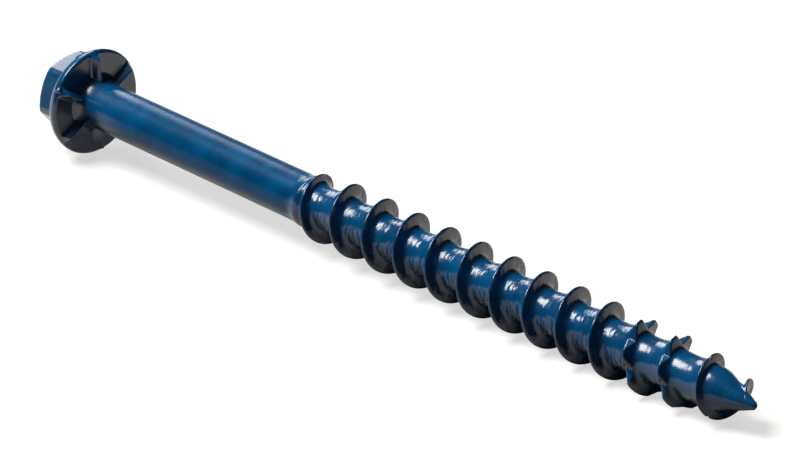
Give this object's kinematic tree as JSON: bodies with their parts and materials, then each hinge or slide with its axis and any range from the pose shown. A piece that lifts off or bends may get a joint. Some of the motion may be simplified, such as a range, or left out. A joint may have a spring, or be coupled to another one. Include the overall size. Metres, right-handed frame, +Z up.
{
  "type": "hex washer head concrete screw",
  "caption": "Blue-coated steel masonry screw with a hex washer head, ribs under the washer, a plain shank and a coarse notched thread to a sharp point.",
  "frame": {"origin": "on the screw's axis, in the plane of the rib lands under the washer", "axes": "+Z up from the floor it lies on; +X from the head towards the point, level; the screw's own axis is tipped 1.62 degrees down towards the point about Y"},
  "size_m": [0.0875, 0.0102, 0.0102],
  "materials": {
    "coated_steel": "glossy blue corrosion-proof coating, thick and slightly pooled"
  },
  "bodies": {
    "root": {"screw": "coated_steel"}
  },
  "joints": []
}
